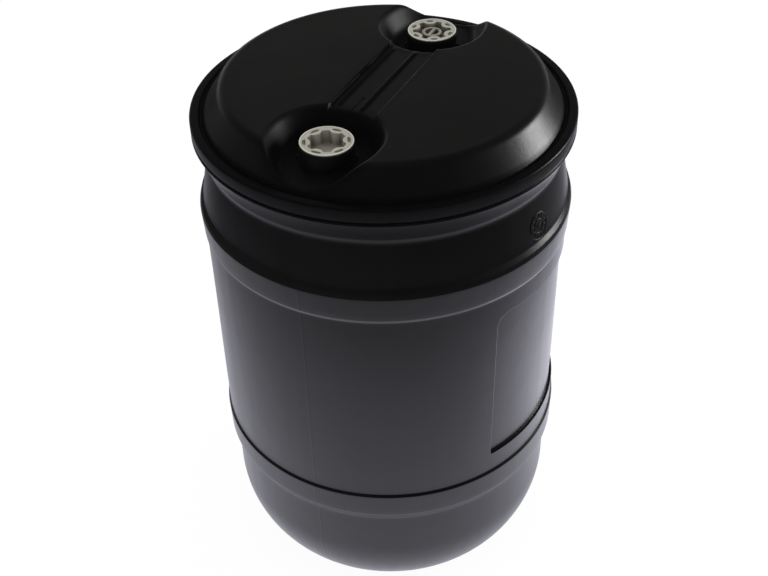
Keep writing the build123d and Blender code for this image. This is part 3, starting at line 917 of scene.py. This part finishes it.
# ---------------------------------------------------------------- CAD pieces kept as they are
for node, material in (("fill_neck", NECK_BLACK), ("vent_neck", NECK_BLACK),
                       ("tap_plug", PLUG_NATURAL), ("fill_gasket", SEAL_BLACK),
                       ("vent_gasket", SEAL_BLACK), ("tap_gasket", SEAL_BLACK)):
    ob = bpy.data.objects[node]
    for slot in ob.material_slots:
        slot.material = material
    if not ob.material_slots:
        ob.data.materials.append(material)

# ---------------------------------------------------------------- camera
# The stage frame is the world turned about Z: x to the camera's right, y away from it, z up.
STAGE_TURN = math.radians(26.4)
STAGE = Matrix.Rotation(STAGE_TURN, 3, "Z")
CAMERA_PITCH = math.radians(38.8675)    # looking down
CAMERA_ROLL = math.radians(-1.49)
# camera place from the middle of the ring's top, in ring radii
CAMERA_DISTANCE, CAMERA_RIGHT, CAMERA_UP = 6.3049, -0.0223, -0.9922


def build_camera():
    forward = Vector((0, math.cos(CAMERA_PITCH), -math.sin(CAMERA_PITCH)))
    right = Vector((1, 0, 0))
    up = right.cross(forward)
    place = -forward * CAMERA_DISTANCE + right * CAMERA_RIGHT + up * CAMERA_UP
    place = STAGE @ (place * (RING_RADIUS * MM)) + Vector((0, 0, RING_TOP * MM))
    cos_roll, sin_roll = math.cos(CAMERA_ROLL), math.sin(CAMERA_ROLL)
    axes = (right * cos_roll + up * sin_roll, up * cos_roll - right * sin_roll, -forward)
    turn = Matrix([STAGE @ axis for axis in axes]).transposed()
    data = bpy.data.cameras.new("camera")
    camera = bpy.data.objects.new("camera", data)
    bpy.context.scene.collection.objects.link(camera)
    camera.matrix_world = Matrix.Translation(place) @ turn.to_4x4()
    data.sensor_width = 36.0
    data.lens = 57.2109375
    data.shift_y = 0.005078125
    data.clip_end = 100
    bpy.context.scene.camera = camera


build_camera()

# ---------------------------------------------------------------- floor, metres
FLOOR_Z = -0.0005
FLOOR_SEGMENTS = 48
FLOOR_RADII = [0.15, 0.3, 0.5, 0.8, 1.2, 1.8, 3, 5, 9, 16]
# distance from the axis, brightness of the paper in reflections
FLOOR_FALL = [(0.0, 1.0), (0.5, 1.0), (0.74, 0.81), (1.0, 0.385), (1.2, 0.12), (1.42, 0.036),
              (2.2, 0.008), (3.0, 0.0)]
FLOOR_REACH = FLOOR_FALL[-1][0]


def floor_material():
    """Paper near white to the eye, and a pool of light round the drum in reflections."""
    material, g = new_material("studio_floor_paper")
    tooth = g.bump(g.noise(scale=400.0), strength=0.05, distance=0.0005)
    g.put(g.bsdf, {"Base Color": (0.88, 0.88, 0.88, 1), "Roughness": 0.9,
                   "Specular IOR Level": 0.0, "Normal": tooth})
    glossy_ray = g.node("LightPath").outputs["Is Glossy Ray"]
    x, y, _ = g.axes(g.coords(Rotation=(0, 0, -STAGE_TURN)))
    # the pool is 1.2 times as wide, and drawn out on the side away from the camera
    wide = g.math("DIVIDE", x, 1.2)
    deep = g.math("DIVIDE", g.plus(y, g.times(g.math("MAXIMUM", y, 0.0), -0.45)), 1.0)
    distance = g.math("DIVIDE", g.length(wide, deep), FLOOR_REACH)
    pool = g.ramp(distance, [(d / FLOOR_REACH, (v, v * 0.995, v * 1.13, 1))
                             for d, v in FLOOR_FALL])
    # brighter close on the right except far behind, a little dimmer on the left
    near_right = g.times(g.rise(x, start=0.30, end=0.62),
                         g.rise(y, start=-0.55, end=0.15, low=0.0, high=0.95))
    strength = g.plus(g.plus(near_right, 1.07), g.rise(x, start=-1.0, end=-0.35, low=-0.22, high=0.0))
    strength = g.times(strength, g.rise(x, start=0.70, end=1.05, low=1.0, high=0.5))
    reflected = g.node("Emission", {0: pool, 1: strength}).outputs[0]
    # mostly self-lit to the eye, keeping a soft contact shadow
    glow = g.node("Emission", {0: (1, 1, 1, 1), 1: 1.02}).outputs[0]
    seen = g.mix_shader(0.93, g.bsdf.outputs[0], glow)
    g.put(g.output, {0: g.mix_shader(glossy_ray, seen, reflected)})
    return material


def build_floor():
    verts = [(0, 0, FLOOR_Z)]
    count = FLOOR_SEGMENTS
    for r in FLOOR_RADII:
        for k in range(count):
            t = 2 * math.pi * k / count
            verts.append((r * math.cos(t), r * math.sin(t), FLOOR_Z))
    faces = [(0, 1 + k, 1 + (k + 1) % count) for k in range(count)]
    for i in range(len(FLOOR_RADII) - 1):
        a, b = 1 + i * count, 1 + (i + 1) * count
        for k in range(count):
            m = (k + 1) % count
            faces.append((a + k, b + k, b + m, a + m))
    mesh = bpy.data.meshes.new("studio_floor")
    mesh.from_pydata(verts, [], faces)
    floor = bpy.data.objects.new("studio_floor", mesh)
    bpy.context.scene.collection.objects.link(floor)
    mesh.materials.append(floor_material())


build_floor()

# ---------------------------------------------------------------- world and light
# sine of the elevation, brightness: what reflections see away from the camera, left and right
SKY_BACK = [(0.0, 0.85), (0.10, 0.36), (0.26, 0.085), (0.60, 0.062), (0.70, 0.048), (0.84, 0.018),
            (1.0, 0.012)]
SKY_LEFT = [(0.0, 0.05), (0.25, 0.03), (0.5, 0.015), (1.0, 0.008)]
SKY_RIGHT = [(0.0, 0.10), (0.25, 0.05), (0.5, 0.02), (1.0, 0.008)]
SKY_FRONT = 0.005


def grey(value, warm=0.0):
    return (value * (1 + warm), value, value * (1 - warm), 1)


def build_world():
    """Plain white to the eye and to diffuse light, a dim studio in reflections."""
    world = bpy.data.worlds.new("studio")
    bpy.context.scene.world = world
    g = Graph(world)
    x, y, z = g.axes(g.coords("Generated", Rotation=(0, 0, -STAGE_TURN)))

    def sky(stops, warm=0.0):
        return g.ramp(g.math("MAXIMUM", z, 0.0), [(q, grey(v, warm)) for q, v in stops])

    studio = g.mix(g.rise(y, start=-0.15, end=0.55), grey(SKY_FRONT), sky(SKY_BACK, warm=0.03))
    leftward = g.times(x, -1.0)
    studio = g.mix(g.rise(leftward, start=0.45, end=0.95), studio, sky(SKY_LEFT))
    studio = g.mix(g.rise(x, start=0.45, end=0.95), studio, sky(SKY_RIGHT))
    white, dim = (g.node("Background", {0: colour, 1: 1.0}).outputs[0]
                  for colour in ((1, 1, 1, 1), studio))
    glossy_ray = g.node("LightPath").outputs["Is Glossy Ray"]
    g.node("OutputWorld", {0: g.mix_shader(glossy_ray, white, dim)})


def build_key_light():
    """Square softbox low on the camera's right, aimed at the top of the drum."""
    direction = (STAGE @ Vector((0.97, 0.20, 0.08))).normalized()
    data = bpy.data.lights.new("key", "AREA")
    data.shape = "RECTANGLE"
    data.size = data.size_y = 0.85
    data.energy = 27
    light = bpy.data.objects.new("key", data)
    bpy.context.scene.collection.objects.link(light)
    light.location = Vector((0, 0, 0.82)) + direction * 2.6
    light.rotation_euler = (-direction).to_track_quat("-Z", "Y").to_euler()


build_world()
build_key_light()

bpy.context.scene.view_settings.view_transform = "Standard"
